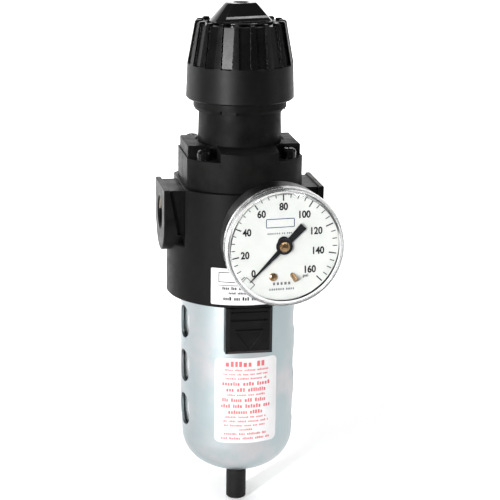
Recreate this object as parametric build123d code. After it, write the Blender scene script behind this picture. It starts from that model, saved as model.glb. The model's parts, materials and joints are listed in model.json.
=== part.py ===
from build123d import *
import os
from math import asin, cos, pi, radians, sin, sqrt

# Compressed-air filter-regulator with a dial gauge, a clear bowl in a steel guard and a drain.
# Millimetres, +Z up. Everything is drawn about the vertical main axis, with Z = 0 on the
# centre line of the two ports and the gauge facing -Y. FRAME_SHIFT then moves it along X, so
# that the origin is the centre of the inlet port where its threaded wall starts.

# ---- driving dimensions -------------------------------------------------------------------
PORT_HALF = 38.4  # main axis to either port face
PORT_R = 7.5  # tapped wall of a 3/8 inch pipe port
PORT_CHAMFER = 0.8
PORT_DEPTH = 15.0
FRAME_SHIFT = PORT_HALF - PORT_CHAMFER

TOP_Z = 99.8  # top of the knob cap
DRAIN_Z = -148.4  # end of the drain tube
SEAM_Z = 14.9  # joint face of bonnet and body
FLANGE_TOP_Z = 34.6
POCKET_Z = 29.1  # floor of the screw pockets
NECK_TOP_Z = 76.0
NECK_R = 19.6

KNOB_BOTTOM_Z = 54.9
KNOB_LEDGE_Z = 71.6  # where the flutes end
KNOB_TOP_Z = 91.6
KNOB_SKIRT_R = 25.7
KNOB_LEDGE_R = 25.1
KNOB_TOP_R = 21.4
FLUTES = 18
FLUTE_W = 5.4
FLUTE_DEPTH = 1.25
FLUTE_AZ = -5.0  # azimuth of one flute, from the front towards +X
RIM_DROP = 1.3  # the flutes cut the rim into teeth this high
RECESS_R = 16.2  # recess in the knob that takes the cap
CAP_FLAT_AZ = 14.2

SCREW_R = 4.7  # adjusting screw
SCREW_PITCH = 1.75
RUN_GAP = 0.05  # radial clearance of a running fit
GAP = 0.3  # clearance between moving neighbours
LOCK_TEETH = 24

BODY_R = 34.9  # round lower body
BODY_BOTTOM_Z = -39.4
SHOULDER_Z = -11.8
BODY_FLAT = 29.0  # the upper body has two flats, towards the ports
BONNET_R = 31.5
BONNET_FLAT = 26.8
CAVITY_R = 25.3  # bore that takes the neck of the bowl
CAVITY_ROOF_Z = -18.0
SKIRT_STEP_Z = -28.0
SKIRT_R = 32.3
CHAMBER_R = 21.0  # outlet chamber under the diaphragm
CHAMBER_FLOOR_Z = 6.0
VALVE_BORE_R = 9.1

GUARD_R = 27.9
GUARD_END_R = 27.2  # slightly drawn in where the dome starts
GUARD_WALL = 1.3
GUARD_TOP_Z = -30.9
GUARD_TAPER_Z = -97.4
KNUCKLE_R = 18.0
CROWN_R = 35.0
GUARD_BOTTOM_Z = -131.8
BOWL_GAP = 0.35
BOWL_WALL = 2.3
BOWL_BOTTOM_Z = GUARD_BOTTOM_Z + GUARD_WALL + BOWL_GAP
SLOT_W = 11.4
SLOT_H = 16.1
SLOT_PITCH = 22.4
SLOT_TOP_Z = -53.6
SLOT_AZ = 78.5
LUG_WIDTH = 30.0  # degrees
LUGS = 3

LATCH_HALF = 11.2
LATCH_FRONT = 33.0
LATCH_TOP_Z = -40.0
LATCH_BOTTOM_Z = -62.8

DRAIN_R = 4.95
DRAIN_BORE_R = 4.0
DRAIN_GRIP = 14.0  # length of the tube that a hose grips
DRAIN_LIFT = 0.8  # rise of the drain screw in half a turn

GAUGE_X = 7.6
GAUGE_Z = 0.6
GAUGE_CLOCK = 1.5  # degrees anticlockwise, seen from the front
GAUGE_FRONT = 77.5
LENS_R = 27.0
CASE_R = 26.0
CASE_BACK = 54.5
DIAL_Y = 72.1
GAUGE_BOSS = 37.0
GAUGE_PORT_R = 6.7
ZERO_ANGLE = 225.0  # pointer direction at zero, anticlockwise from +X


# ---- shape helpers ------------------------------------------------------------------------
def rod(radius, low, high):
    return Pos(0, 0, (low + high) / 2) * Cylinder(radius, high - low)


def tube(outer, inner, low, high):
    return rod(outer, low, high) - rod(inner, low - 1, high + 1)


def block(x0, x1, y0, y1, z0, z1):
    centre = Pos((x0 + x1) / 2, (y0 + y1) / 2, (z0 + z1) / 2)
    return centre * Box(x1 - x0, y1 - y0, z1 - z0)


def turned(points):
    """A solid of revolution about Z from (radius, height) points."""
    return revolve(Plane.XZ * make_face(Polyline(*points, close=True)), Axis.Z)


def along_y(shape, x=0.0, z=0.0):
    """Turns a shape drawn about +Z so that +Z points to the front, -Y."""
    return Pos(x, 0, z) * Rot(90, 0, 0) * shape


def at_azimuth(angle):
    """Turns a shape drawn towards the front so that it faces the azimuth, + towards +X."""
    return Rot(0, 0, angle)


def sector(outer, inner, low, high, width):
    """A ring piece of the given angular width, centred on the front."""
    reach = 2 * outer
    half = radians(width / 2)
    corner = (reach * sin(half), -reach * cos(half))
    wedge = Polyline((0, 0), corner, (-corner[0], corner[1]), close=True)
    return tube(outer, inner, low, high) & Pos(0, 0, low) * extrude(make_face(wedge), high - low)


def flat_round(radius, flat, low, high):
    """A round block with two flats that face along X."""
    return rod(radius, low, high) & block(-flat, flat, -radius, radius, low, high)


def ridged(radius, depth, pitch, low, high):
    """Profile points, bottom to top, of a thread drawn as rings."""
    count = int((high - low) / pitch)
    points = []
    for turn in range(count):
        z = low + turn * pitch
        points += [(radius - depth, z), (radius, z + 0.35 * pitch), (radius, z + 0.65 * pitch)]
    points.append((radius - depth, low + count * pitch))
    return points


def coil(mean_r, wire_r, low, high, turns):
    """A coil spring with both ends ground flat."""
    bite = 0.4 * wire_r  # how far the ground ends cut into the wire
    height = high - low - 2 * bite
    path = Pos(0, 0, low + bite) * Helix(height / turns, height, mean_r)
    start = path @ 0
    wire = sweep(Plane(start, z_dir=path % 0) * Circle(wire_r), path, is_frenet=True)
    reach = mean_r + 2 * wire_r
    return wire & block(-reach, reach, -reach, reach, low, high)


def o_ring(mean_r, minor_r, z):
    return Pos(0, 0, z) * Torus(mean_r, minor_r)


# ---- regulator head -----------------------------------------------------------------------
def adjusting_knob():
    cavity_r = 22.8
    upper_r = 20.2
    tooth_roof_z = 63.2
    shell = turned(
        [
            (0, KNOB_BOTTOM_Z),
            (KNOB_SKIRT_R - 0.6, KNOB_BOTTOM_Z),
            (KNOB_SKIRT_R, KNOB_BOTTOM_Z + 0.6),
            (KNOB_LEDGE_R, KNOB_LEDGE_Z),
            (KNOB_TOP_R + 0.2, KNOB_TOP_Z - 0.7),
            (KNOB_TOP_R - 0.5, KNOB_TOP_Z),
            (0, KNOB_TOP_Z),
        ]
    )
    shell -= rod(cavity_r, KNOB_BOTTOM_Z - 1, tooth_roof_z)
    shell -= rod(upper_r, tooth_roof_z - 1, 80)
    shell -= rod(RECESS_R, 88.6, KNOB_TOP_Z + 1) + rod(12.5, 86, 89)
    rim_inner_r = KNOB_TOP_R - 3.0
    shell -= rod(rim_inner_r, KNOB_TOP_Z - RIM_DROP, KNOB_TOP_Z + 1)
    shell -= Pos(0, 0, 79) * extrude(RegularPolygon(6.65 / cos(pi / 6), 6), 8)
    slope = (KNOB_LEDGE_R - KNOB_TOP_R) / (KNOB_TOP_Z - KNOB_LEDGE_Z)
    low_r = KNOB_LEDGE_R - FLUTE_DEPTH
    notch_z = KNOB_TOP_Z - RIM_DROP
    high_r = low_r - slope * (notch_z - KNOB_LEDGE_Z)
    outline = Polyline(
        (low_r, KNOB_LEDGE_Z),
        (low_r + 6, KNOB_LEDGE_Z - 1.2),
        (low_r + 6, KNOB_TOP_Z + 1),
        (RECESS_R, KNOB_TOP_Z + 1),
        (RECESS_R, notch_z),
        (high_r, notch_z),
        close=True,
    )
    flute = extrude(Plane.XZ * make_face(outline), FLUTE_W / 2, both=True)
    for index in range(FLUTES):
        shell -= Rot(0, 0, FLUTE_AZ - 90 + index * 360 / FLUTES) * flute
    pitch = 360 / LOCK_TEETH
    for index in range(LOCK_TEETH):
        tooth = sector(cavity_r + 0.2, upper_r, 60.7, tooth_roof_z, 7.0)
        shell += at_azimuth((index + 0.5) * pitch) * tooth
    return shell


def knob_cap():
    """A glossy cone with a flat in two steps cut into its front and its back."""
    cone_z = 91.2
    cap = turned(
        [
            (3.5, TOP_Z - 0.3),
            (3.8, TOP_Z),
            (7.0, TOP_Z),
            (7.6, TOP_Z - 0.35),
            (14.6, cone_z + 0.3),
            (14.8, cone_z),
            (14.6, 88.65),
            (12.45, 88.65),
            (12.45, 86.05),
            (9.0, 86.05),
            (9.0, cone_z),
            (3.5, cone_z),
        ]
    )
    outline = Polyline(
        (4.4, TOP_Z + 0.1),
        (20, TOP_Z + 0.1),
        (20, cone_z + 0.4),
        (7.9, cone_z + 0.4),
        (7.7, 93.0),
        (6.8, 93.9),
        close=True,
    )
    flat = extrude(Plane.XZ * make_face(outline), 20, both=True)
    for side in (0, 180):
        cap -= Rot(0, 0, CAP_FLAT_AZ - 90 + side) * flat
    return cap


def lock_ring():
    low, face, top = 49.6, 57.0, 59.5
    outer, inner = 22.0, NECK_R + 0.02
    ring = turned(
        [
            (inner, low),
            (outer - 0.6, low),
            (outer + 0.2, low + 1.6),
            (outer, face),
            (inner, face),
        ]
    )
    for index in range(4):
        notch = block(-3.6, 3.6, -outer - 2, -20.6, low - 1, low + 1.9)
        ring -= at_azimuth(-24.6 + index * 90) * notch
    for index in range(LOCK_TEETH):
        tooth = sector(outer, inner + 0.4, face - 0.2, top, 7.0)
        ring += at_azimuth(index * 360 / LOCK_TEETH) * tooth
    return ring


def adjusting_screw():
    tip_z, collar_low, collar_high = 40.0, 64.0, 66.9
    thread = ridged(SCREW_R, 0.8, SCREW_PITCH, tip_z, collar_low - 1)
    shape = turned(
        [(0, tip_z)]
        + thread
        + [
            (4.2, collar_low),
            (8.5, collar_low),
            (8.5, collar_high),
            (SCREW_R, collar_high),
            (SCREW_R, 78.0),
            (0, 78.0),
        ]
    )
    shape += Pos(0, 0, 78) * extrude(RegularPolygon(6.5 / cos(pi / 6), 6), 9.4)
    return shape - tube(12, 5.4, 86.1, 87.2)


def retaining_clip():
    clip = tube(8.0, 5.5, 86.15, 87.15)
    return clip - block(-1.6, 1.6, -9, 0, 85, 88)


def thrust_washer():
    return tube(9.2, SCREW_R + 0.3, 67.0, 67.9)


def spring_nut():
    low, high = 52.8, 55.8
    nut = tube(14.2, SCREW_R + RUN_GAP, low, high) + tube(8.0, SCREW_R + RUN_GAP, high - 0.5, 61.0)
    for side in (0, 180):
        ear = block(-1.8, 1.8, -16.3, -13.0, low, high)
        nut += Rot(0, 0, side) * (ear - rod(13.0, low - 1, high + 1))
    return nut


def range_spring():
    return coil(11.35, 1.25, 16.8, 52.7, 7)


def bonnet():
    flange = flat_round(BONNET_R, 27.5, SEAM_Z, POCKET_Z)
    flange = fillet(flange.edges().filter_by(Axis.Z), 1.2)
    upper = flat_round(BONNET_R, BONNET_FLAT, POCKET_Z - 1, FLANGE_TOP_Z)
    upper = fillet(upper.edges().filter_by(Axis.Z), 1.0)
    upper = chamfer(upper.faces().sort_by(Axis.Z)[-1].edges(), 0.4)
    for sx in (-1, 1):
        for sy in (-1, 1):
            pocket = block(13.7, 40, 13.3, 40, POCKET_Z, FLANGE_TOP_Z + 1)
            inner_edge = pocket.edges().filter_by(Axis.Z).sort_by_distance((13.7, 13.3, POCKET_Z))[0]
            pocket = fillet(inner_edge, 3.4)
            upper -= mirror_corner(pocket, sx, sy)
    # the front and back shoulders fall away from the neck
    slope = Polyline(
        (NECK_R + 0.5, FLANGE_TOP_Z),
        (BONNET_R + 1, FLANGE_TOP_Z - 1.7),
        (BONNET_R + 1, FLANGE_TOP_Z + 1),
        (NECK_R + 0.5, FLANGE_TOP_Z + 1),
        close=True,
    )
    wedge = extrude(Plane.YZ * make_face(slope), 13.7, both=True)
    upper -= wedge + mirror(wedge, Plane.XZ)
    neck = turned(
        [
            (0, POCKET_Z),
            (NECK_R + 0.3, POCKET_Z),
            (NECK_R + 0.3, FLANGE_TOP_Z + 1.5),
            (NECK_R, 49.6),
            (NECK_R, NECK_TOP_Z - 0.8),
            (NECK_R - 0.8, NECK_TOP_Z),
            (0, NECK_TOP_Z),
        ]
    )
    relief = tube(NECK_R + 1.5, NECK_R + 0.3, FLANGE_TOP_Z - 0.7, FLANGE_TOP_Z + 1)
    shape = flange + (upper - relief) + neck
    shape -= turned(
        [
            (0, SEAM_Z - 1),
            (CHAMBER_R + 1, SEAM_Z - 1),
            (CHAMBER_R + 1, 20.0),
            (15.5, 26.0),
            (15.5, 68.0),
            (0, 68.0),
        ]
    )
    shape -= rod(SCREW_R + RUN_GAP, 60, NECK_TOP_Z + 1)
    for side in (0, 180):
        shape -= Rot(0, 0, side) * block(-2.1, 2.1, -16.9, -14.0, SEAM_Z + 5, 62.0)
    for x, y in screw_places():
        shape -= Pos(x, y, 0) * rod(2.25, SEAM_Z - 1, POCKET_Z + 1)
    # vent hole at the back of the neck
    shape -= Pos(0, NECK_R, 42) * Rot(90, 0, 0) * Cylinder(1.2, 12)
    return shape


def mirror_corner(shape, sx, sy):
    if sx < 0:
        shape = mirror(shape, Plane.YZ)
    if sy < 0:
        shape = mirror(shape, Plane.XZ)
    return shape


def screw_places():
    return [(sx * 20.0, sy * 19.5) for sx in (-1, 1) for sy in (-1, 1)]


def bonnet_screws():
    """Four black screws with tall domed heads."""
    side_z, top_z = POCKET_Z + 3.2, POCKET_Z + 4.9
    head = turned(
        [
            (0, POCKET_Z + 0.02),
            (3.5, POCKET_Z + 0.02),
            (3.5, side_z),
            (3.1, side_z + 0.9),
            (2.0, side_z + 1.5),
            (0, top_z),
        ]
    )
    for turn in (0, 90):
        head -= Rot(0, 0, turn) * block(-1.9, 1.9, -0.35, 0.35, top_z - 1.3, top_z + 1)
    screw = head + rod(2.0, 2.0, POCKET_Z + 0.5)
    return Compound(children=[Pos(x, y, 0) * Rot(0, 0, 31 * x) * screw for x, y in screw_places()])


def spring_plate():
    plate = turned(
        [
            (3.0, 15.0),
            (14.2, 15.0),
            (14.2, 16.7),
            (9.6, 16.7),
            (9.4, 19.6),
            (3.0, 19.6),
        ]
    )
    return plate


def diaphragm():
    low, high = 13.45, SEAM_Z
    profile = Polyline(
        (3.0, low),
        (15.3, low),
        (16.2, low + 1.9),
        (18.4, low + 1.9),
        (19.3, low),
        (24.5, low),
        (24.5, high),
        (19.9, high),
        (18.9, high + 1.9),
        (15.7, high + 1.9),
        (14.7, high),
        (3.0, high),
        close=True,
    )
    return revolve(Plane.XZ * make_face(profile), Axis.Z)


def relief_seat():
    return turned(
        [
            (0.7, 11.9),
            (2.2, 11.9),
            (8.0, 12.3),
            (8.0, 13.4),
            (2.95, 13.4),
            (2.95, 18.9),
            (0.7, 18.9),
        ]
    )


# ---- body and valve -----------------------------------------------------------------------
def port_boss():
    """The inlet boss, towards -X, drawn solid: a D-shaped end with a stepped-in root."""
    half, top, root, drop = 15.8, 13.9, 24.0, 18.0
    outline = make_face(
        Polyline((half, 0), (half, top), (-half, top), (-half, 0))
        + ThreePointArc((-half, 0), (0, -drop), (half, 0))
    )
    profile = Plane((-PORT_HALF, 0, 0), x_dir=(0, 1, 0), z_dir=(1, 0, 0)) * outline
    boss = extrude(profile, PORT_HALF - root)
    boss = fillet(boss.edges().group_by(Axis.X)[0], 0.5)
    step = Polyline((-36.0, top + 1), (-20, top + 1), (-20, -8.0), (-31.7, -8.0), close=True)
    for side in (-1, 1):
        recess = Plane.XZ * make_face(step)
        boss -= Pos(0, side * (13.6 + 5), 0) * extrude(recess, 5, both=True)
    boss -= block(-36.0, -20, -half - 1, half + 1, top - 0.7, top + 1)
    return boss


def body_casting():
    lower = rod(BODY_R, BODY_BOTTOM_Z, SHOULDER_Z)
    lower = fillet(lower.faces().sort_by(Axis.Z)[-1].edges(), 1.6)
    lower = chamfer(lower.faces().sort_by(Axis.Z)[0].edges(), 0.5)
    upper = flat_round(BODY_R, BODY_FLAT, SHOULDER_Z - 2, SEAM_Z)
    upper = fillet(upper.edges().filter_by(Axis.Z), 1.0)
    boss = port_boss()
    shape = upper + lower + boss + mirror(boss, Plane.YZ)
    gauge_boss = rod(10.5, 24, GAUGE_BOSS)
    gauge_boss = chamfer(gauge_boss.faces().sort_by(Axis.Z)[-1].edges(), 0.5)
    for side in (0, 180):
        shape += Rot(0, 0, side) * along_y(gauge_boss, GAUGE_X if side == 0 else -GAUGE_X, GAUGE_Z)
    # bowl cavity and the wider skirt below it
    shape -= rod(CAVITY_R, SKIRT_STEP_Z - 1, CAVITY_ROOF_Z)
    shape -= rod(SKIRT_R, BODY_BOTTOM_Z - 1, SKIRT_STEP_Z)
    # valve bore, its land and the outlet chamber
    shape -= rod(VALVE_BORE_R, CAVITY_ROOF_Z - 1, 4.2)
    shape -= rod(6.0, 3, CHAMBER_FLOOR_Z + 1)
    shape -= rod(CHAMBER_R, CHAMBER_FLOOR_Z, SEAM_Z + 1)
    shape -= rod(24.7, 13.4, SEAM_Z + 1)
    # ports, with the inlet led down to the bowl and the outlet up to the chamber
    for side in (-1, 1):
        mouth = turned(
            [
                (0, PORT_HALF - PORT_DEPTH),
                (PORT_R, PORT_HALF - PORT_DEPTH),
                (PORT_R, PORT_HALF - PORT_CHAMFER),
                (PORT_R + 2 * PORT_CHAMFER, PORT_HALF + PORT_CHAMFER),
                (0, PORT_HALF + PORT_CHAMFER),
            ]
        )
        shape -= Rot(0, 90 * side, 0) * mouth
    inner_end = PORT_HALF - PORT_DEPTH
    shape -= block(-inner_end, -15.0, -5.5, 5.5, CAVITY_ROOF_Z - 1, 3.0)
    shape -= block(14.0, inner_end, -5.5, 5.5, -3.0, CHAMBER_FLOOR_Z + 1)
    # gauge ports, front and rear, each opened into the outlet chamber
    for side in (-1, 1):
        bore = Pos(GAUGE_X, side * 30.5, GAUGE_Z) * Rot(90, 0, 0) * Cylinder(GAUGE_PORT_R, 15)
        shape -= bore
        shape -= Pos(GAUGE_X, side * 29.3, GAUGE_Z) * Rot(90, 0, 0) * Cylinder(3.0, 20)
        shape -= Pos(GAUGE_X, side * 19.3, 0) * rod(1.6, 0, CHAMBER_FLOOR_Z + 1)
    for x, y in screw_places():
        shape -= Pos(x, y, 0) * rod(2.05, 1.0, SEAM_Z + 1)
    # bayonet lugs inside the skirt
    for index in range(LUGS):
        lug = sector(SKIRT_R + 0.5, GUARD_R + 0.5, -36.6, -33.6, LUG_WIDTH)
        shape += at_azimuth(60 + index * 360 / LUGS) * lug
    return shape


def rear_port_plug():
    low, high = 24.0, GAUGE_BOSS - 0.7
    plug = turned([(0, low)] + ridged(GAUGE_PORT_R - 0.05, 0.5, 1.4, low, high) + [(0, high)])
    plug -= Pos(0, 0, 29) * extrude(RegularPolygon(3.2 / cos(pi / 6), 6), 9)
    return Pos(GAUGE_X, 0, GAUGE_Z) * Rot(-90, 0, 0) * plug


def valve_seat():
    return turned(
        [
            (4.5, 0.45),
            (5.2, 0.45),
            (5.4, 1.1),
            (VALVE_BORE_R - 0.05, 1.1),
            (VALVE_BORE_R - 0.05, 4.1),
            (4.5, 4.1),
        ]
    )


def valve_stem():
    return turned(
        [
            (0, -15.0),
            (2.1, -15.0),
            (2.5, -14.5),
            (2.5, -3.1),
            (6.4, -3.1),
            (6.4, -0.95),
            (2.0, -0.95),
            (2.0, 0.3),
            (1.2, 0.9),
            (1.2, 11.4),
            (0.6, 11.85),
            (0, 11.85),
        ]
    )


def valve_facing():
    return tube(6.2, 2.02, -0.93, 0.4)


def valve_spring():
    return coil(5.4, 0.45, -18.9, -3.15, 8)


def valve_cage():
    shape = tube(VALVE_BORE_R - 0.05, 7.2, -22.0, 1.05)
    shape += rod(VALVE_BORE_R - 0.05, -24.0, -19.0)
    shape += rod(4.2, -19.5, -9.0)
    thread = ridged(3.5, 0.45, 1.25, -79.5, -68)
    shape += turned([(0, -80.0), (2.8, -80.0)] + thread + [(3.5, -23.0), (0, -23.0)])
    shape -= rod(2.5 + RUN_GAP, -17.5, -8.0)
    for index in range(6):
        shape -= Rot(0, 0, 60 * index) * Pos(5.75, 0, -21.5) * Cylinder(1.25, 6)
    return shape


# ---- filter -------------------------------------------------------------------------------
def air_deflector():
    inner = VALVE_BORE_R + 0.05
    shape = tube(20.8, inner, -19.8, -18.05)
    shape += tube(11.0, inner, -24.1, -19.0)
    shape += tube(17.5, inner, -24.1, -22.9)
    for index in range(16):
        turn = Rot(0, 0, index * 22.5)
        shape -= turn * block(12.2, 19.2, -1.3, 1.3, -21, -17)
    for index in range(16):
        vane = Pos(15.8, 0, -21.2) * Rot(35, 0, 0) * Box(7.0, 0.9, 4.4)
        piece = Rot(0, 0, index * 22.5 + 11.25) * vane
        shape += piece & tube(19.8, 10.5, -23.5, -19.0)
    return shape


def filter_element():
    return tube(15.5, 10.5, -72.0, -24.15)


def filter_baffle():
    return turned(
        [
            (3.55, -80.5),
            (6.5, -80.5),
            (7.5, -77.5),
            (19.0, -77.0),
            (20.0, -76.0),
            (19.0, -75.0),
            (16.6, -74.2),
            (16.6, -72.05),
            (9.8, -72.05),
            (9.8, -70.5),
            (3.55, -70.5),
        ]
    )


# ---- bowl, guard, latch and drain ---------------------------------------------------------
def vessel(offset, top):
    """The guard's outer form, drawn in by offset and closed at top."""
    crown_z = GUARD_BOTTOM_Z + CROWN_R
    knuckle_x = GUARD_END_R - KNUCKLE_R
    knuckle_z = crown_z - sqrt((CROWN_R - KNUCKLE_R) ** 2 - knuckle_x**2)
    lean = asin(knuckle_x / (CROWN_R - KNUCKLE_R))
    crown_r, knuckle_r = CROWN_R - offset, KNUCKLE_R - offset

    def on_crown(angle):
        return (crown_r * sin(angle), crown_z - crown_r * cos(angle))

    def on_knuckle(angle):
        return (knuckle_x + knuckle_r * sin(angle), knuckle_z - knuckle_r * cos(angle))

    side = Polyline(
        on_knuckle(pi / 2),
        (GUARD_R - offset, GUARD_TAPER_Z),
        (GUARD_R - offset, top),
        (0, top),
        on_crown(0),
    )
    crown = ThreePointArc(on_crown(0), on_crown(lean / 2), on_crown(lean))
    knuckle = ThreePointArc(on_crown(lean), on_knuckle((lean + pi / 2) / 2), on_knuckle(pi / 2))
    return revolve(Plane.XZ * make_face(side + crown + knuckle), Axis.Z)


def bowl():
    outer = BOWL_GAP + GUARD_WALL
    inner = outer + BOWL_WALL
    shape = vessel(outer, -29.0) + tube(28.1, 22, -30.7, -28.3)
    shape += rod(25.2, -29.5, -20.6)
    shape -= vessel(inner, -27.0) + rod(21.6, -34.0, -20.0)
    shape -= tube(26.0, 23.2, -26.1, -23.6)
    # the drain boss and its ribs stand on the floor of the bowl
    low = BOWL_BOTTOM_Z + 1.3
    inside = vessel(outer + 0.5, -100.0)
    boss = rod(8.0, low, low + 9.5) + tube(10.0, 6.0, low, low + 3.5)
    for index in range(4):
        boss += Rot(0, 0, 45 + 90 * index) * block(7.5, 13.0, -0.8, 0.8, low, low + 7.0)
    shape += boss & inside
    shape -= rod(DRAIN_BORE_R, BOWL_BOTTOM_Z - 5, low + 10)
    return shape


def bowl_seal():
    return o_ring(24.24, 1.0, -24.85)


def guard_slot(z, azimuth):
    """Cutter for one upright round-ended slot."""
    face = SlotOverall(SLOT_H, SLOT_W, rotation=90)
    return at_azimuth(azimuth) * Pos(0, 0, z) * Rot(90, 0, 0) * Pos(0, 0, 15) * extrude(face, 20)


def bowl_guard():
    shape = vessel(0, GUARD_TOP_Z) - vessel(GUARD_WALL, GUARD_TOP_Z + 1)
    for side in (-1, 1):
        for index in range(3):
            shape -= guard_slot(SLOT_TOP_Z - index * SLOT_PITCH, side * SLOT_AZ)
    shape -= rod(6.2, GUARD_BOTTOM_Z - 5, GUARD_BOTTOM_Z + 5)
    for index in range(LUGS):
        lug = sector(31.4, GUARD_R - 0.5, -33.3, GUARD_TOP_Z, LUG_WIDTH)
        shape += at_azimuth(60 + index * 360 / LUGS) * lug
    return shape


def latch_rail():
    foot = block(-3.0, 3.0, -29.9, -26.8, -60.0, -48.6) - rod(GUARD_R + 0.01, -70, -40)
    return foot + block(-6.6, 6.6, -30.9, -29.7, -60.0, -48.6)


def latch():
    shape = block(-LATCH_HALF, LATCH_HALF, -LATCH_FRONT, -24, LATCH_BOTTOM_Z, LATCH_TOP_Z)
    shape = chamfer(shape.edges().filter_by(Axis.Z).group_by(Axis.Y)[0], 1.6)
    shape = chamfer(shape.faces().sort_by(Axis.Z)[0].edges().group_by(Axis.Y)[0], 1.8)
    cut = Pos(LATCH_HALF, 0, LATCH_BOTTOM_Z) * Rot(0, 45, 0) * Box(3.2, 30, 3.2)
    shape -= cut + mirror(cut, Plane.YZ)
    # tongue that reaches up inside the body's skirt
    shape += block(-5.5, 5.5, -31.0, -28.5, LATCH_TOP_Z - 1, LATCH_TOP_Z + 2.6)
    shape -= rod(GUARD_R + GAP, -80, -30)
    # T-shaped pocket for the rail, and the spring's pocket above it
    shape -= block(-6.9, 6.9, -31.2, -29.4, -60.3, -44.9)
    shape -= block(-3.3, 3.3, -29.6, -24.0, -60.3, -44.9)
    shape -= Pos(0, -30.2, 0) * rod(1.9, -60, -41.3)
    # grip grooves and the shallow arrowhead that shows which way to slide
    for z, deep, high in ((-41.6, 0.5, 0.9), (-45.4, 0.7, 1.5), (-50.4, 0.5, 0.8)):
        half = 8.9 if z > -50 else 6.7
        shape -= block(-half, half, -40, -LATCH_FRONT + deep, z - high / 2, z + high / 2)
    arrow = Polyline((-6.4, -51.6), (6.4, -51.6), (0, -60.4), close=True)
    shape -= Pos(0, -LATCH_FRONT - 4.6, 0) * extrude(Plane.XZ * make_face(arrow), 5, both=True)
    return shape


def latch_spring():
    return Pos(0, -30.2, 0) * coil(1.3, 0.25, -48.5, -41.4, 8)


def drain_plunger():
    """The valve head on the drain boss, with the pin that joins it to the screw."""
    seat_z = BOWL_BOTTOM_Z + 12.45
    return turned(
        [
            (0, seat_z - 6.2),
            (2.0, seat_z - 6.2),
            (2.0, seat_z),
            (6.6, seat_z),
            (6.8, seat_z + 0.8),
            (3.0, seat_z + 2.2),
            (0, seat_z + 2.2),
        ]
    )


def drain_seal():
    return o_ring(5.35, 0.78, BOWL_BOTTOM_Z + 11.62)


def drain_stem():
    collar_z = BOWL_BOTTOM_Z - DRAIN_LIFT - 0.3
    top_z = BOWL_BOTTOM_Z + 10.5
    shape = turned(
        [
            (0, DRAIN_Z),
            (DRAIN_R - 0.6, DRAIN_Z),
            (DRAIN_R, DRAIN_Z + 0.6),
            (DRAIN_R, DRAIN_Z + 0.6 + DRAIN_GRIP),
            (DRAIN_R - 0.2, DRAIN_Z + 0.7 + DRAIN_GRIP),
            (DRAIN_R - 0.2, collar_z),
            (DRAIN_BORE_R - 0.1, collar_z),
            (DRAIN_BORE_R - 0.1, top_z),
            (0, top_z),
        ]
    )
    shape -= rod(2.0 + RUN_GAP, BOWL_BOTTOM_Z + 4.8, top_z + 1)
    return shape - rod(1.6, DRAIN_Z - 1, BOWL_BOTTOM_Z + 5.3)


# ---- gauge --------------------------------------------------------------------------------
def on_gauge(shape):
    """Places a shape drawn about +Z, with +Z to the front, on the gauge's axis."""
    return Pos(GAUGE_X, 0, GAUGE_Z) * Rot(90, 0, 0) * Rot(0, 0, GAUGE_CLOCK) * shape


def gauge_stem():
    flats = 7.0
    thread = ridged(6.6, 0.45, 1.41, 24.6, 41.2)
    shape = turned([(0, 24.6)] + thread + [(5.9, 41.4), (5.9, 43.5), (0, 43.5)])
    wrench = block(-flats, flats, -flats, flats, 43.0, CASE_BACK - 0.1)
    wrench = chamfer(wrench.edges().filter_by(Axis.Z), 1.2)
    shape += wrench + rod(5.0, CASE_BACK - 1, 56.5)
    shape += block(-6, 6, -7, 7, 56.2, 61.5)
    return on_gauge(shape - rod(1.8, 20, 57.0))


def gauge_case():
    shape = turned(
        [
            (5.1, CASE_BACK),
            (22.6, CASE_BACK),
            (24.8, CASE_BACK + 0.7),
            (CASE_R, CASE_BACK + 2.6),
            (CASE_R, 70.3),
            (25.8, 70.3),
            (25.8, 72.6),
            (24.95, 72.6),
            (24.95, 71.5),
            (24.0, 71.5),
            (24.0, CASE_BACK + 2.0),
            (22.8, CASE_BACK + 1.5),
            (5.1, CASE_BACK + 1.5),
        ]
    )
    # a blow-out vent in the back and the raised pad round the stem
    shape += tube(11.0, 7.5 * sqrt(2), CASE_BACK - 0.6, CASE_BACK + 0.2)
    return on_gauge(shape - Pos(0, 17, CASE_BACK) * Cylinder(2.6, 6))


def gauge_dial():
    return on_gauge(tube(24.9, 1.5, 71.55, DIAL_Y))


def gauge_lens():
    return on_gauge(
        turned(
            [
                (0, 76.0),
                (24.3, 76.0),
                (25.3, 75.0),
                (25.9, 72.8),
                (25.9, 70.4),
                (LENS_R - 0.2, 70.4),
                (LENS_R, 70.8),
                (LENS_R, 75.2),
                (26.4, 76.6),
                (25.2, GAUGE_FRONT - 0.1),
                (24.6, GAUGE_FRONT),
                (0, GAUGE_FRONT),
            ]
        )
    )


def pointer():
    low, high = 72.7, 73.1
    tip, tail = 22.3, 12.5
    outline = Polyline((tip, 0.12), (3.0, 1.05), (3.0, -1.05), (tip, -0.12), close=True)
    back = Polyline((-3.0, 1.3), (-tail, 1.75), (-tail, -1.75), (-3.0, -1.3), close=True)
    plate = extrude(make_face(outline), high - low) + extrude(make_face(back), high - low)
    shape = Pos(0, 0, low) * (Rot(0, 0, ZERO_ANGLE) * plate) + rod(3.7, low, high + 0.4)
    shape += Pos(-0.3, 1.9, 0) * rod(2.7, low, high)  # slip disc that sets the zero
    return on_gauge(shape - rod(1.02, low - 1, high + 2))


def pointer_hub():
    return on_gauge(
        turned(
            [
                (0, 62.4),
                (1.0, 62.4),
                (1.0, 73.55),
                (2.3, 73.55),
                (2.3, 74.1),
                (1.7, 74.7),
                (0, 74.9),
            ]
        )
    )


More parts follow.
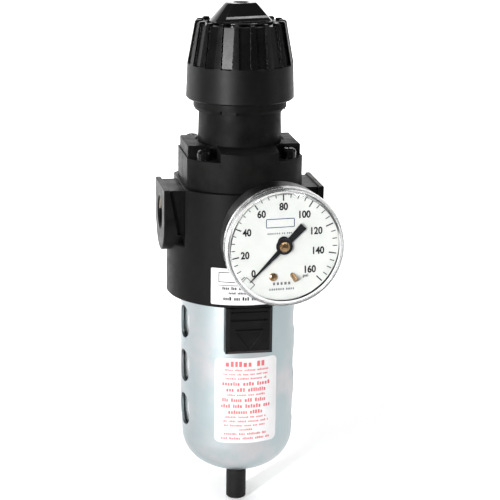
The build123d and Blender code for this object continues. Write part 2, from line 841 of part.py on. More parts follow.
def dial_screw():
    low = DIAL_Y + 0.02
    head = turned([(0, low), (1.9, low), (1.8, low + 0.5), (1.1, low + 0.9), (0, low + 1.0)])
    head -= Rot(0, 0, 40) * block(-2, 2, -0.2, 0.2, low + 0.7, low + 2)
    return on_gauge(Pos(-5.05, -14.0, 0) * head)


def stop_pin():
    """A short pin that leans outwards and down from the dial."""
    pin = Plane(origin=(3.95, -13.85, DIAL_Y), z_dir=(0.95, -1.6, 2.3)) * rod(1.15, -1.5, 2.9)
    return on_gauge(pin & block(0, 9, -20, -8, DIAL_Y + 0.02, 76))


def bourdon_tube():
    """A C-shaped tube of oval section from the stem block round to its free tip."""
    section = tube(18.6, 16.4, 61.6, 66.6)
    gap = make_face(Polyline((0, 0), (40, -46), (-12, -46), close=True))
    return on_gauge(section - Pos(0, 0, 60) * extrude(gap, 8))


def gauge_movement():
    plate = block(-7, 7, -9, 9, 0, 0.8) - rod(1.08, -1, 2)
    shape = Pos(0, 0, 63.4) * plate + Pos(0, 0, 68.4) * plate
    for x in (-5, 5):
        for y in (-7, 7):
            shape += Pos(x, y, 0) * rod(1.0, 61.55, 69.0)
    return on_gauge(shape)


# ---- labels -------------------------------------------------------------------------------
def rounded_window(width, low, high, radius):
    """Cutter that leaves a rounded rectangle on the front of a round body."""
    face = RectangleRounded(width, high - low, radius)
    return Pos(0, 0, (low + high) / 2) * Rot(90, 0, 0) * Pos(0, 0, 10) * extrude(face, 40)


def body_label():
    sheet = tube(BODY_R + 0.15, BODY_R + 0.01, -37.8, -20.1)
    return sheet & rounded_window(36.4, -37.8, -20.1, 0.6)


def guard_label():
    low, high = -109.7, -66.4
    sheet = vessel(-0.15, high) - vessel(-0.02, high + 1)
    return sheet & rounded_window(30.0, low, high, 2.6)


NODES = [
    adjusting_knob,
    knob_cap,
    lock_ring,
    adjusting_screw,
    retaining_clip,
    thrust_washer,
    spring_nut,
    range_spring,
    bonnet,
    bonnet_screws,
    spring_plate,
    diaphragm,
    relief_seat,
    body_casting,
    rear_port_plug,
    valve_seat,
    valve_stem,
    valve_facing,
    valve_spring,
    valve_cage,
    air_deflector,
    filter_element,
    filter_baffle,
    bowl,
    bowl_seal,
    bowl_guard,
    latch_rail,
    latch,
    latch_spring,
    drain_plunger,
    drain_seal,
    drain_stem,
    gauge_stem,
    gauge_case,
    gauge_dial,
    gauge_lens,
    pointer,
    pointer_hub,
    dial_screw,
    stop_pin,
    bourdon_tube,
    gauge_movement,
    body_label,
    guard_label,
]

os.makedirs("parts", exist_ok=True)
for make in NODES:
    export_step(Pos(FRAME_SHIFT, 0, 0) * make(), f"parts/{make.__name__}.step")
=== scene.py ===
import json
import math
import random

import bmesh
import bpy
from mathutils import Matrix, Vector


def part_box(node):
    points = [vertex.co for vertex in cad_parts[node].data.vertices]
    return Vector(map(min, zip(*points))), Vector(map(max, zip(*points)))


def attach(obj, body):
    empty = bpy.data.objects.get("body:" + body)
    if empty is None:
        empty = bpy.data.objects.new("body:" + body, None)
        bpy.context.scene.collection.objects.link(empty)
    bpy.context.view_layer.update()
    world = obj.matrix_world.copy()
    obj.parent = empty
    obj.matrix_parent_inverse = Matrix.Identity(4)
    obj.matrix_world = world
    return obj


# A compressed-air filter-regulator: the CAD parts with their materials, and the print on the dial
# and labels and the threads in the ports, which are made here. Metres, in the frame of the parts.

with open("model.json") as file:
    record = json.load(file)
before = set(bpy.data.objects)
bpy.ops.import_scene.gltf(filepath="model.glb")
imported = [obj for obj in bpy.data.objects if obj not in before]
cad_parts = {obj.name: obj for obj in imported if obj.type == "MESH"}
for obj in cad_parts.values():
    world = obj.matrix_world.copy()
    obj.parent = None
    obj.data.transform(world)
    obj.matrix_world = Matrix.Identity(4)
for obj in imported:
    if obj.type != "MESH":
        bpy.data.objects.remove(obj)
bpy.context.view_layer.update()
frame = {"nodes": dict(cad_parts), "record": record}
MM = 0.001


def centre(node):
    low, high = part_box(node)
    return (low + high) / 2


AXIS = centre("adjusting_knob")  # the main axis passes through its x and y
SKIRT_HEIGHT = 16.7 * MM  # of the smooth part of the knob, below the flutes
KNOB_LEDGE_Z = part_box("adjusting_knob")[0].z + SKIRT_HEIGHT
FLOOR_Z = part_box("drain_stem")[0].z
INLET_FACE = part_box("body_casting")[0].x
OUTLET_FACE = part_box("body_casting")[1].x


# ---- materials ----------------------------------------------------------------------------
def grey(value):
    return (value,) * 3


class Tree:
    """A short way to write a node tree around one Principled shader."""

    def __init__(self, name):
        self.material = bpy.data.materials.new(name)
        self.material.use_nodes = True
        self.nodes = self.material.node_tree.nodes
        self.links = self.material.node_tree.links
        self.shader = self.nodes["Principled BSDF"]
        self.coords = self.nodes.new("ShaderNodeTexCoord").outputs["Object"]

    def set(self, **values):
        for key, value in values.items():
            self.shader.inputs[key.replace("_", " ")].default_value = value
        return self

    def link(self, source, target):
        self.links.new(source, self.shader.inputs[target] if isinstance(target, str) else target)

    def scaled(self, x, y, z):
        """Object coordinates stretched by different amounts, for grain with a direction."""
        node = self.nodes.new("ShaderNodeMapping")
        node.inputs["Scale"].default_value = (x, y, z)
        self.links.new(self.coords, node.inputs["Vector"])
        return node.outputs["Vector"]

    def noise(self, size, detail=3.0, rough=0.55, coords=None):
        """Noise whose features are about size metres across."""
        node = self.nodes.new("ShaderNodeTexNoise")
        node.inputs["Scale"].default_value = 1 / size
        node.inputs["Detail"].default_value = detail
        node.inputs["Roughness"].default_value = rough
        self.links.new(self.coords if coords is None else coords, node.inputs["Vector"])
        return node.outputs["Fac"]

    def ramp(self, source, low, high, start=0.3, end=0.7):
        """A number or a colour that goes from low to high as source goes from start to end."""
        if isinstance(low, (int, float)):
            node = self.nodes.new("ShaderNodeMapRange")
            limits = {"From Min": start, "From Max": end, "To Min": low, "To Max": high}
            for name, value in limits.items():
                node.inputs[name].default_value = value
            self.links.new(source, node.inputs["Value"])
            return node.outputs["Result"]
        node = self.nodes.new("ShaderNodeValToRGB")
        for element, place, colour in zip(node.color_ramp.elements, (start, end), (low, high)):
            element.position = place
            element.color = (*colour, 1)
        self.links.new(source, node.inputs["Fac"])
        return node.outputs["Color"]

    def mix(self, factor, a, b):
        """A colour that goes from a to b with factor. Each is a colour or a socket."""
        node = self.nodes.new("ShaderNodeMix")
        node.data_type = "RGBA"
        self.links.new(factor, node.inputs["Factor"])
        for socket, colour in ((node.inputs[6], a), (node.inputs[7], b)):
            if isinstance(colour, tuple):
                socket.default_value = (*colour, 1)
            else:
                self.links.new(colour, socket)
        return node.outputs[2]

    def bump(self, height, depth, strength=1.0, under=None):
        """Bump of depth metres, laid over another bump or a bevel."""
        node = self.nodes.new("ShaderNodeBump")
        node.inputs["Strength"].default_value = strength
        node.inputs["Distance"].default_value = depth
        self.links.new(height, node.inputs["Height"])
        if under is not None:
            self.links.new(under, node.inputs["Normal"])
        return node.outputs["Normal"]

    def soft_edges(self, radius):
        """A normal that rounds sharp edges to the radius."""
        node = self.nodes.new("ShaderNodeBevel")
        node.samples = 6
        node.inputs["Radius"].default_value = radius
        return node.outputs["Normal"]


def moulded(name, dark, light, rough=None, grain=0.35, grain_depth=0.006, edge=0.25, blotch=9):
    """Black plastic or paint: cloudy colour, uneven gloss, fine grain and rounded edges.

    Sizes are in mm. Without rough, the caller links the roughness.
    """
    t = Tree(name)
    grain, grain_depth, edge, blotch = (value * MM for value in (grain, grain_depth, edge, blotch))
    cloud = t.noise(blotch, 5, 0.6)
    fine = t.noise(grain, 2, 0.5)
    t.link(t.ramp(cloud, dark, light), "Base Color")
    if rough:
        t.link(t.ramp(t.noise(blotch * 0.6, 4, 0.65), *rough), "Roughness")
    wave = t.bump(t.noise(4 * MM, 2, 0.5), 0.012 * MM, 0.5, t.soft_edges(edge))
    t.link(t.bump(fine, grain_depth, 0.6, wave), "Normal")
    return t


def black(name, tone, rough, edge, specular):
    """A plain black moulding or painted part, from the tones and the gloss."""
    dark, light = (grey(value) for value in tone)
    return moulded(name, dark, light, rough, edge=edge).set(Specular_IOR_Level=specular).material


def black_knob():
    """Polished flutes over a duller skirt."""
    extra_roughness = 0.16
    blend = 0.1 * MM
    t = moulded("knob_plastic", grey(0.002), grey(0.005), grain=0.5, grain_depth=0.012)
    place = t.nodes.new("ShaderNodeSeparateXYZ")
    t.links.new(t.coords, place.inputs["Vector"])
    skirt = t.ramp(place.outputs["Z"], 1.0, 0.0, KNOB_LEDGE_Z - blend, KNOB_LEDGE_Z + blend)
    dull = t.nodes.new("ShaderNodeMath")
    dull.operation = "MULTIPLY_ADD"
    dull.inputs[1].default_value = extra_roughness
    t.links.new(skirt, dull.inputs[0])
    t.links.new(t.ramp(t.noise(5 * MM, 4, 0.65), 0.24, 0.32), dull.inputs[2])
    t.link(dull.outputs["Value"], "Roughness")
    return t.set(Specular_IOR_Level=0.17).material


def black_bonnet():
    """Satin plastic with the pale cloudy scuffs of a moulding that has been handled."""
    t = moulded("bonnet_plastic", grey(0.002), (0.009, 0.0088, 0.0085), (0.38, 0.60), blotch=12)
    return t.set(Specular_IOR_Level=0.08).material


def black_body():
    """Satin paint with a coarser grain, over a casting."""
    t = moulded(
        "body_paint",
        grey(0.002),
        (0.0045, 0.0044, 0.0042),
        (0.36, 0.52),
        grain=0.8,
        grain_depth=0.02,
        edge=0.35,
    )
    return t.set(Specular_IOR_Level=0.11).material


def plated_guard():
    """Bright zinc plate on drawn steel: pale blue-grey with faint pink and green bands."""
    t = Tree("guard_zinc")
    streaks = t.noise(1.0, 4, 0.6, t.scaled(900, 900, 60))
    tint = t.noise(28 * MM, 2, 0.5)
    cool = t.mix(tint, (0.36, 0.425, 0.455), (0.50, 0.545, 0.55))
    warm = t.ramp(t.noise(16 * MM, 3, 0.55), (0.38, 0.45, 0.47), (0.56, 0.515, 0.525), 0.42, 0.64)
    t.link(t.mix(t.noise(40 * MM, 1, 0.4), cool, warm), "Base Color")
    t.link(t.ramp(streaks, 0.30, 0.42, 0.25, 0.75), "Roughness")
    t.link(t.bump(streaks, 0.004 * MM, 0.5, t.soft_edges(0.3 * MM)), "Normal")
    return t.set(Metallic=1.0).material


def metal(name, colour, rough):
    """Machined or drawn metal with fine lines and slightly uneven gloss."""
    t = Tree(name)
    lines = t.noise(1.0, 3, 0.6, t.scaled(1500, 1500, 1500))
    darker = tuple(c * 0.8 for c in colour)
    t.link(t.ramp(t.noise(5 * MM, 3, 0.6), darker, colour), "Base Color")
    t.link(t.ramp(lines, *rough), "Roughness")
    t.link(t.bump(lines, 0.003 * MM, 0.5, t.soft_edges(0.12 * MM)), "Normal")
    return t.set(Metallic=1.0).material


def plain(name, dark, light, rough, grain=0.3 * MM, depth=0.008 * MM, speck=2 * MM):
    """Matte rubber, sintered media and printed film."""
    t = Tree(name)
    t.link(t.ramp(t.noise(speck, 4, 0.6), dark, light), "Base Color")
    t.link(t.ramp(t.noise(speck * 2, 2, 0.5), *rough), "Roughness")
    t.link(t.bump(t.noise(grain, 2, 0.5), depth, 0.6), "Normal")
    return t.material


GAUGE = centre("gauge_lens")


def frosted_rim(t, polished, misty, start, end):
    """Roughness of the lens, from polished inside the radius start to misty beyond end."""
    node = t.nodes.new("ShaderNodeVectorMath")
    node.operation = "MULTIPLY_ADD"
    node.inputs[1].default_value = (1, 0, 1)
    node.inputs[2].default_value = (-GAUGE.x, 0, -GAUGE.z)
    t.links.new(t.coords, node.inputs[0])
    length = t.nodes.new("ShaderNodeVectorMath")
    length.operation = "LENGTH"
    t.links.new(node.outputs["Vector"], length.inputs[0])
    return t.ramp(length.outputs["Value"], polished, misty, start, end)


def clear(name, tint, rough, ior=1.49, ripple=0.01 * MM):
    """Clear plastic that lets lamps through to what is behind it."""
    t = Tree(name)
    t.set(Base_Color=(*tint, 1), IOR=ior, Transmission_Weight=1.0, Specular_IOR_Level=0.06)
    t.link(t.ramp(t.noise(14 * MM, 2, 0.5), *rough), "Roughness")
    t.link(t.bump(t.noise(9 * MM, 1, 0.4), ripple, 0.4), "Normal")
    lamp = t.nodes.new("ShaderNodeBsdfTransparent")
    lamp.inputs["Color"].default_value = (*(c * 0.96 for c in tint), 1)
    either = t.nodes.new("ShaderNodeMixShader")
    t.links.new(t.nodes.new("ShaderNodeLightPath").outputs["Is Shadow Ray"], either.inputs["Fac"])
    t.links.new(t.shader.outputs["BSDF"], either.inputs[1])
    t.links.new(lamp.outputs["BSDF"], either.inputs[2])
    t.links.new(either.outputs["Shader"], t.nodes["Material Output"].inputs["Surface"])
    return t


def clear_lens():
    t = clear("clear_lens", (0.97, 0.98, 0.98), (0.0, 0.01))
    t.link(frosted_rim(t, 0.004, 0.20, 24.2 * MM, 25.0 * MM), "Roughness")
    return t.material


def ink(name, colour, rough=0.45):
    """Printed ink: nearly even, with faint mottling."""
    t = Tree(name)
    faded = tuple(min(1.0, c * 1.3 + 0.001) for c in colour)
    t.link(t.ramp(t.noise(0.8 * MM, 2, 0.5), colour, faded), "Base Color")
    t.link(t.ramp(t.noise(3 * MM, 2, 0.5), rough, rough + 0.12), "Roughness")
    return t.set(Specular_IOR_Level=0.12).material


STEEL = metal("steel", (0.60, 0.61, 0.62), (0.25, 0.38))
SPRING = metal("spring_steel", (0.42, 0.43, 0.45), (0.28, 0.40))
BRASS = metal("brass", (0.50, 0.34, 0.17), (0.24, 0.38))
BRONZE = metal("bronze", (0.42, 0.26, 0.13), (0.16, 0.28))
RUBBER = plain("rubber", grey(0.012), grey(0.024), (0.6, 0.75))
WHITE_FILM = plain(
    "label_white",
    (0.66, 0.655, 0.665),
    (0.72, 0.715, 0.72),
    (0.38, 0.48),
    grain=0.5 * MM,
    depth=0.003 * MM,
    speck=7 * MM,
)
FILTER_MEDIA = plain(
    "filter_media",
    (0.66, 0.66, 0.62),
    (0.82, 0.82, 0.78),
    (0.8, 0.95),
    grain=0.4 * MM,
    depth=0.05 * MM,
)
DIAL_WHITE = plain(
    "dial_white",
    (0.45, 0.45, 0.435),
    (0.49, 0.489, 0.472),
    (0.35, 0.5),
    grain=0.4 * MM,
    depth=0.002 * MM,
    speck=9 * MM,
)
CAST_METAL = metal("cast_metal", (0.46, 0.42, 0.38), (0.30, 0.45))
DARK_INK = ink("dark_ink", (0.003, 0.003, 0.004))
GREY_INK = ink("grey_ink", (0.08, 0.08, 0.085))
BLUE_INK = ink("blue_ink", (0.012, 0.028, 0.09))
RED_INK = ink("red_ink", (0.52, 0.13, 0.14))

MATERIALS = {
    "knob_plastic": black_knob(),
    "cap_plastic": black("cap_plastic", (0.002, 0.005), (0.08, 0.16), 0.2, 0.5),
    "bonnet_plastic": black_bonnet(),
    "body_paint": black_body(),
    "screw_black": black("screw_black", (0.002, 0.004), (0.08, 0.16), 0.15, 0.22),
    "steel": STEEL,
    "spring_steel": SPRING,
    "brass": BRASS,
    "rubber": RUBBER,
    "valve_plastic": black("valve_plastic", (0.02, 0.04), (0.4, 0.55), 0.25, 0.5),
    "filter_media": FILTER_MEDIA,
    "clear_bowl": clear(
        "clear_bowl", (0.90, 0.94, 0.95), (0.02, 0.06), ior=1.58, ripple=0.03 * MM
    ).material,
    "guard_zinc": plated_guard(),
    "latch_plastic": black("latch_plastic", (0.003, 0.007), (0.25, 0.40), 0.3, 0.10),
    "drain_plastic": black("drain_plastic", (0.007, 0.013), (0.42, 0.55), 0.3, 0.12),
    "case_black": black("case_black", (0.002, 0.005), (0.30, 0.45), 0.4, 0.09),
    "dial_white": DIAL_WHITE,
    "clear_lens": clear_lens(),
    "pointer_black": ink("pointer_black", (0.002, 0.002, 0.003), 0.5),
    "bronze": BRONZE,
    "label_white": WHITE_FILM,
}


def dress_cad_nodes():
    """Each CAD part gets the material of its slot."""
    for part in frame["record"]["subparts"]:
        node = frame["nodes"][part["node"]]
        node.data.materials.clear()
        node.data.materials.append(MATERIALS[part["material_slot"]])
        node.modifiers.clear()


dress_cad_nodes()


# ---- mesh helpers -------------------------------------------------------------------------
def new_piece(name, build, material, body, smooth=None):
    """A mesh piece made by build(bmesh) that rides on a body."""
    bm = bmesh.new()
    build(bm)
    bmesh.ops.recalc_face_normals(bm, faces=bm.faces)
    mesh = bpy.data.meshes.new(name)
    bm.to_mesh(mesh)
    bm.free()
    piece = bpy.data.objects.new(name, mesh)
    bpy.context.scene.collection.objects.link(piece)
    mesh.materials.append(material)
    if smooth is not None:
        for face in mesh.polygons:
            face.use_smooth = True
        mesh.set_sharp_from_angle(angle=math.radians(smooth))
    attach(piece, body)
    return piece


def add_prism(bm, outline, place, low, high):
    """A closed prism: outline is (x, y) points, and place maps (x, y, height) to the frame."""
    rings = [[bm.verts.new(place(x, y, h)) for x, y in outline] for h in (low, high)]
    count = len(outline)
    bm.faces.new(list(reversed(rings[0])))
    bm.faces.new(rings[1])
    for i in range(count):
        j = (i + 1) % count
        bm.faces.new((rings[0][i], rings[0][j], rings[1][j], rings[1][i]))


def rectangle(x, y, width, height):
    w, h = width / 2, height / 2
    return [(x - w, y - h), (x + w, y - h), (x + w, y + h), (x - w, y + h)]


# ---- dial ---------------------------------------------------------------------------------
DIAL = centre("gauge_dial")
DIAL_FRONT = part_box("gauge_dial")[0].y
DIAL_CLOCK = math.radians(1.5)  # the gauge is screwed in a little anticlockwise
ZERO_ANGLE = math.radians(225)
SWEEP = math.radians(270)
FULL_SCALE = 160
INK_THICK = 0.06 * MM
NUMERAL_R = 17.9 * MM
NUMERAL_SIZE = 4.5 * MM


def on_dial(x, y, height):
    """Dial coordinates, +x right and +y up as read, to the frame."""
    c, s = math.cos(DIAL_CLOCK), math.sin(DIAL_CLOCK)
    return Vector((DIAL.x + x * c - y * s, DIAL_FRONT - height, DIAL.z + x * s + y * c))


def dial_angle(value):
    return ZERO_ANGLE - SWEEP * value / FULL_SCALE


def spoke(angle, inner, outer, low, high):
    """Outline of a straight mark along a radius, between low and high to the sides of it."""
    c, s = math.cos(angle), math.sin(angle)
    corners = [(inner, low), (outer, low), (outer, high), (inner, high)]
    return [(r * c - t * s, r * s + t * c) for r, t in corners]


def print_on_dial(bm, outline):
    add_prism(bm, outline, on_dial, 0, INK_THICK)


def dial_marks(bm):
    """A mark for each 5 and a longer one for each 20, and the bracket round the zero mark."""
    rim = 24.2 * MM
    for value in range(5, FULL_SCALE + 1, 5):
        major = value % 20 == 0
        length = (3.5 if major else 2.1) * MM
        half = (0.56 if major else 0.40) * MM / 2
        print_on_dial(bm, spoke(dial_angle(value), rim - length, rim, -half, half))
    line, half, near, far = 0.32 * MM, 2.7 * MM, 21.7 * MM, 24.4 * MM
    for inner, outer, low, high in (
        (near - line, near, -half, half),
        (near, far, half - line, half),
        (near, far, -half, -half + line),
    ):
        print_on_dial(bm, spoke(dial_angle(0), inner, outer, low, high))


new_piece("dial_marks", dial_marks, DARK_INK, "body")


def dial_text(name, words, x, y, size, material, width, stroke):
    """Flat printed characters centred on (x, y) of the dial, stretched by width and thickened."""
    curve = bpy.data.curves.new(name, "FONT")
    curve.body = words
    curve.size = size
    curve.align_x, curve.align_y = "CENTER", "CENTER"
    curve.extrude = INK_THICK / 2
    curve.resolution_u = 5
    curve.offset = stroke
    text = bpy.data.objects.new(name, curve)
    bpy.context.scene.collection.objects.link(text)
    bpy.context.view_layer.update()
    mesh = bpy.data.meshes.new_from_object(text)
    bpy.data.objects.remove(text)
    for vertex in mesh.vertices:
        u, v, w = vertex.co
        vertex.co = on_dial(x + u * width, y + v, w + INK_THICK / 2)
    piece = bpy.data.objects.new(name, mesh)
    bpy.context.scene.collection.objects.link(piece)
    mesh.materials.clear()
    mesh.materials.append(material)
    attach(piece, "body")
    return piece


def dial_numbers():
    for number in range(0, FULL_SCALE + 1, 20):
        direction = dial_angle(number)
        reach = NUMERAL_R
        if number >= 100:  # a long number is set further in where it lies beside its mark
            reach -= 2.3 * MM * abs(math.cos(direction))
        if number == 0:  # the zero stands beside the pointer
            direction -= math.radians(4)
            reach += 0.5 * MM
        dial_text(
            f"dial_number_{number}",
            str(number),
            reach * math.cos(direction),
            reach * math.sin(direction),
            NUMERAL_SIZE,
            DARK_INK,
            width=0.86,
            stroke=0.15 * MM,
        )


dial_numbers()
dial_text(
    "dial_unit", "psi", 9.7 * MM, -14.1 * MM, 2.0 * MM, GREY_INK, width=1.15, stroke=0.06 * MM
)


def dial_small_print(bm):
    """Rows of small blocks where a maker would print an address and a code."""
    rng = random.Random(7)
    for x0, x1, y, height, pitch in (
        (-7.3, 3.6, 5.9, 0.75, 0.85),
        (-5.1, 3.2, -17.2, 1.25, 1.7),
        (-6.8, 4.6, -19.8, 0.95, 1.0),
    ):
        x = x0
        while x < x1:
            width = pitch * rng.uniform(0.5, 0.68)
            middle = (x + width / 2) * MM
            print_on_dial(bm, rectangle(middle, y * MM, width * MM, height * MM))
            x += pitch * (1.0 if rng.random() < 0.82 else 1.6)


def dial_frame(bm):
    """A plain blue outlined box above the hub."""
    x, y, width, height, line = -1.5, 10.6, 12.6, 3.8, 0.36
    for dx, dy, w, h in (
        (0, height / 2, width, line),
        (0, -height / 2, width, line),
        (-width / 2, 0, line, height - line),
        (width / 2, 0, line, height - line),
    ):
        print_on_dial(bm, rectangle((x + dx) * MM, (y + dy) * MM, w * MM, h * MM))


new_piece("dial_small_print", dial_small_print, GREY_INK, "body")
new_piece("dial_frame", dial_frame, BLUE_INK, "body")


# ---- labels -------------------------------------------------------------------------------
PRINT_LIFT = 0.05 * MM
BLOCK_GAP = 0.34  # share of a block's pitch that is left free
BODY_LABEL_R = AXIS.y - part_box("body_label")[0].y


def add_curved_bar(bm, radius_at, x0, x1, z0, z1):
    """A thin raised bar bent round the main axis. x is arc length from the front."""
    steps = max(1, int((x1 - x0) / (1.5 * MM)))
    columns = []
    for i in range(steps + 1):
        x = x0 + (x1 - x0) * i / steps
        column = []
        for z, r in ((z0, 0), (z1, 0), (z1, PRINT_LIFT), (z0, PRINT_LIFT)):
            radius = radius_at(z) + r
            angle = x / radius_at(z0)
            point = (AXIS.x + radius * math.sin(angle), AXIS.y - radius * math.cos(angle), z)
            column.append(bm.verts.new(point))
        columns.append(column)
    for a, b in zip(columns, columns[1:]):
        for i in range(4):
            j = (i + 1) % 4
            bm.faces.new((a[i], a[j], b[j], b[i]))
    bm.faces.new(columns[0])
    bm.faces.new(list(reversed(columns[-1])))


def add_dummy_words(bm, radius_at, z, height, width, pitch, rng):
    """A centred line of blocks in word-like groups, standing for print that isn't copied."""
    x = -width / 2
    while x < width / 2 - pitch:
        letters = rng.randint(3, 8)
        for _ in range(letters):
            block = pitch * rng.uniform(0.62, 0.98)
            if x + block > width / 2:
                break
            rise = height * rng.choice((0.78, 0.78, 1.0))
            add_curved_bar(bm, radius_at, x, x + block * (1 - BLOCK_GAP), z, z + rise)
            x += block
        x += pitch * 0.8


def body_radius(_z):
    return BODY_LABEL_R


def body_print(bm):
    """Three lines of blocks, a ruled line, and a plain box where a maker would print a mark."""
    rng = random.Random(4)
    low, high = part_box("body_label")[0].z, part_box("body_label")[1].z
    height = high - low
    for share, size, width, pitch in (
        (0.42, 1.5, 27, 1.15),
        (0.30, 1.0, 21, 0.9),
        (0.13, 1.7, 26, 1.3),
    ):
        z = low + share * height
        add_dummy_words(bm, body_radius, z, size * MM, width * MM, pitch * MM, rng)
    for x0, x1, z0, z1 in (
        (-16, 16, 0.53, 0.545),
        (-15.4, -6.0, 0.62, 0.64),
        (-15.4, -6.0, 0.88, 0.90),
        (-15.4, -15.05, 0.62, 0.90),
        (-6.3, -5.95, 0.62, 0.90),
    ):
        add_curved_bar(bm, body_radius, x0 * MM, x1 * MM, low + z0 * height, low + z1 * height)


new_piece("body_label_print", body_print, DARK_INK, "body")


def guard_radius(z):
    """The guard label's surface: a cylinder that is drawn in slightly towards the dome."""
    front = AXIS.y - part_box("guard_label")[0].y
    taper_z, dome_z, taper = FLOOR_Z + 51 * MM, FLOOR_Z + 37.3 * MM, 0.7 * MM
    return front - taper * max(0.0, taper_z - z) / (taper_z - dome_z)


def guard_print(bm):
    """Lines of blocks from the top of the label to the bottom, evenly spaced."""
    rng = random.Random(11)
    low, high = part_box("guard_label")[0].z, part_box("guard_label")[1].z
    top_margin, bottom_margin = 1.6, 1.8
    lines = (  # height, width and pitch, all in mm
        (2.7, 21, 2.7),
        (1.0, 22, 0.95),
        (1.0, 23, 0.95),
        (1.0, 21, 0.95),
        (1.9, 24, 1.6),
        (1.9, 20, 1.6),
        (1.0, 19, 0.95),
        (1.9, 24, 1.5),
        (1.9, 25, 1.5),
        (1.9, 18, 1.5),
        (1.0, 21, 0.95),
        (1.0, 23, 0.95),
        (1.0, 22, 0.95),
        (1.0, 7, 0.95),
        (1.2, 22, 1.1),
        (1.2, 25, 1.1),
    )
    z = high - top_margin * MM
    total = sum(size for size, _, _ in lines)
    free = (high - low) / MM - top_margin - bottom_margin - total
    for size, width, pitch in lines:
        z -= size * MM
        add_dummy_words(bm, guard_radius, z, size * MM, width * MM, pitch * MM, rng)
        z -= free / (len(lines) - 1) * MM


new_piece("guard_label_print", guard_print, RED_INK, "bowl_assembly")


# ---- port threads -------------------------------------------------------------------------
def thread_in_port(face, inward):
    """Helical crests inside a port whose mouth is at x = face, cut towards inward."""
    radius, depth, pitch = 7.46 * MM, 0.62 * MM, 1.41 * MM
    turns, per_turn = 8, 48
    start = 1.3 * MM

    def build(bm):
        rows = []
        for i in range(turns * per_turn + 1):
            angle = 2 * math.pi * i / per_turn
            along = start + pitch * i / per_turn
            crest = radius - depth * min(1.0, i / per_turn, (turns * per_turn - i) / per_turn)
            row = []
            for r, offset in ((radius, -0.42), (crest, -0.08), (crest, 0.08), (radius, 0.42)):
                x = face + inward * (along + offset * pitch)
                row.append(bm.verts.new((x, AXIS.y + r * math.cos(angle), r * math.sin(angle))))
            rows.append(row)
        for a, b in zip(rows, rows[1:]):
            for k in range(4):
                j = (k + 1) % 4
                bm.faces.new((a[k], a[j], b[j], b[k]))
        bm.faces.new(rows[0])
        bm.faces.new(list(reversed(rows[-1])))

    return build


new_piece("inlet_thread", thread_in_port(INLET_FACE, 1), CAST_METAL, "body", 40)
new_piece("outlet_thread", thread_in_port(OUTLET_FACE, -1), CAST_METAL, "body", 40)


# ---- floor, light and camera --------------------------------------------------------------
LAMP_TARGET = Vector((AXIS.x, AXIS.y, FLOOR_Z + 0.13))
ROOM_LIGHT = 0.11
SKY_LIGHT = 0.95


def studio_floor():
    """A pale floor that curves up into a backdrop."""
    bm = bmesh.new()
    half, depth_front, depth_back, bend_r, height = 3.0, 0.42, 1.4, 1.0, 2.4
    bend_steps = 12
    profile = [(-depth_front, 0.0)]
    for i in range(bend_steps + 1):
        angle = math.pi / 2 * i / bend_steps
        profile.append((depth_back + bend_r * math.sin(angle), bend_r * (1 - math.cos(angle))))
    profile.append((depth_back + bend_r, height))
    sides = []
    for x in (AXIS.x - half, AXIS.x + half):
        sides.append([bm.verts.new((x, AXIS.y + y, FLOOR_Z - 0.4 * MM + z)) for y, z in profile])
    for i in range(len(profile) - 1):
        bm.faces.new((sides[0][i], sides[1][i], sides[1][i + 1], sides[0][i + 1]))
    mesh = bpy.data.meshes.new("studio_floor")
    bm.to_mesh(mesh)
    bm.free()
    floor = bpy.data.objects.new("studio_floor", mesh)
    bpy.context.scene.collection.objects.link(floor)
    for face in mesh.polygons:
        face.use_smooth = True
    t = Tree("studio_white")
    t.link(t.ramp(t.noise(0.2, 2, 0.5), grey(0.90), grey(0.93)), "Base Color")
    t.set(Roughness=0.9, Emission_Color=(1, 1, 1, 1), Emission_Strength=0.30)
    mesh.materials.append(t.material)


def outwards(azimuth, elevation):
    """The direction from the object at these degrees. Azimuth is from the front, + to the right."""
    a, e = math.radians(azimuth), math.radians(elevation)
    return Vector((math.sin(a) * math.cos(e), -math.cos(a) * math.cos(e), math.sin(e)))


def area_lamp(name, width, height, power, location, towards):
    data = bpy.data.lights.new(name, "AREA")
    data.shape = "RECTANGLE"
    data.size, data.size_y = width, height
    data.energy = power
    lamp = bpy.data.objects.new(name, data)
    bpy.context.scene.collection.objects.link(lamp)
    lamp.location = location
    lamp.rotation_mode = "QUATERNION"
    lamp.rotation_quaternion = towards.to_track_quat("-Z", "Y")


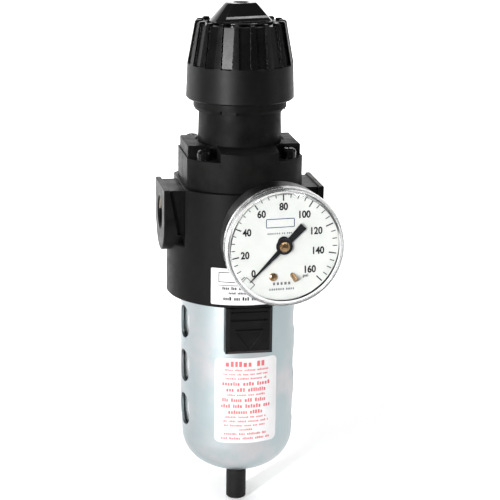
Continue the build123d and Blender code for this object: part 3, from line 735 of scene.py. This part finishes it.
def studio_light():
    """A dim white room, six softboxes round the object, and a lamp that lights the backdrop."""
    world = bpy.data.worlds.new("studio")
    bpy.context.scene.world = world
    world.use_nodes = True
    nodes, links = world.node_tree.nodes, world.node_tree.links
    background = nodes["Background"]
    background.inputs["Color"].default_value = (1, 1, 1, 1)
    # white behind the object, and a dim room for everything that it lights or is mirrored in
    strength = nodes.new("ShaderNodeMapRange")
    strength.inputs["To Min"].default_value = ROOM_LIGHT
    strength.inputs["To Max"].default_value = SKY_LIGHT
    links.new(nodes.new("ShaderNodeLightPath").outputs["Is Camera Ray"], strength.inputs["Value"])
    links.new(strength.outputs["Result"], background.inputs["Strength"])
    for name, azimuth, elevation, distance, width, height, power in (
        ("key", -40, 8, 1.3, 0.10, 0.16, 20),
        ("left", -122, 14, 1.1, 0.4, 0.9, 2.4),
        ("right", 70, 16, 1.3, 0.3, 0.9, 2.0),
        ("top", 0, 80, 1.1, 0.9, 0.6, 4),
        ("upper_left", -46, 52, 1.4, 0.25, 0.25, 1.8),
        ("upper_right", 70, 61, 1.2, 0.3, 0.3, 3.2),
    ):
        back = outwards(azimuth, elevation)
        area_lamp(name, width, height, power, LAMP_TARGET + back * distance, -back)
    behind = Vector((AXIS.x, AXIS.y + 0.35, FLOOR_Z + 0.9))
    area_lamp("backdrop", 2.4, 0.5, 60, behind, Vector((0, 1, -0.15)))


def camera():
    """A long lens, slightly from the left and above."""
    distance, aim_height, roll = 840.6 * MM, 128.06 * MM, math.radians(0.6)
    target = Vector((AXIS.x, AXIS.y, FLOOR_Z + aim_height))
    back = outwards(-10.1, 15.08)
    data = bpy.data.cameras.new("camera")
    data.sensor_width = 36
    data.lens = 124.61
    data.shift_x = 0.0233
    data.clip_start, data.clip_end = 0.05, 20
    cam = bpy.data.objects.new("camera", data)
    bpy.context.scene.collection.objects.link(cam)
    cam.location = target + back * distance
    cam.rotation_mode = "QUATERNION"
    facing = (-back).to_track_quat("-Z", "Y")
    cam.rotation_quaternion = facing @ Matrix.Rotation(roll, 3, "Z").to_quaternion()
    bpy.context.scene.camera = cam


studio_floor()
studio_light()
camera()
bpy.context.scene.view_settings.view_transform = "Standard"
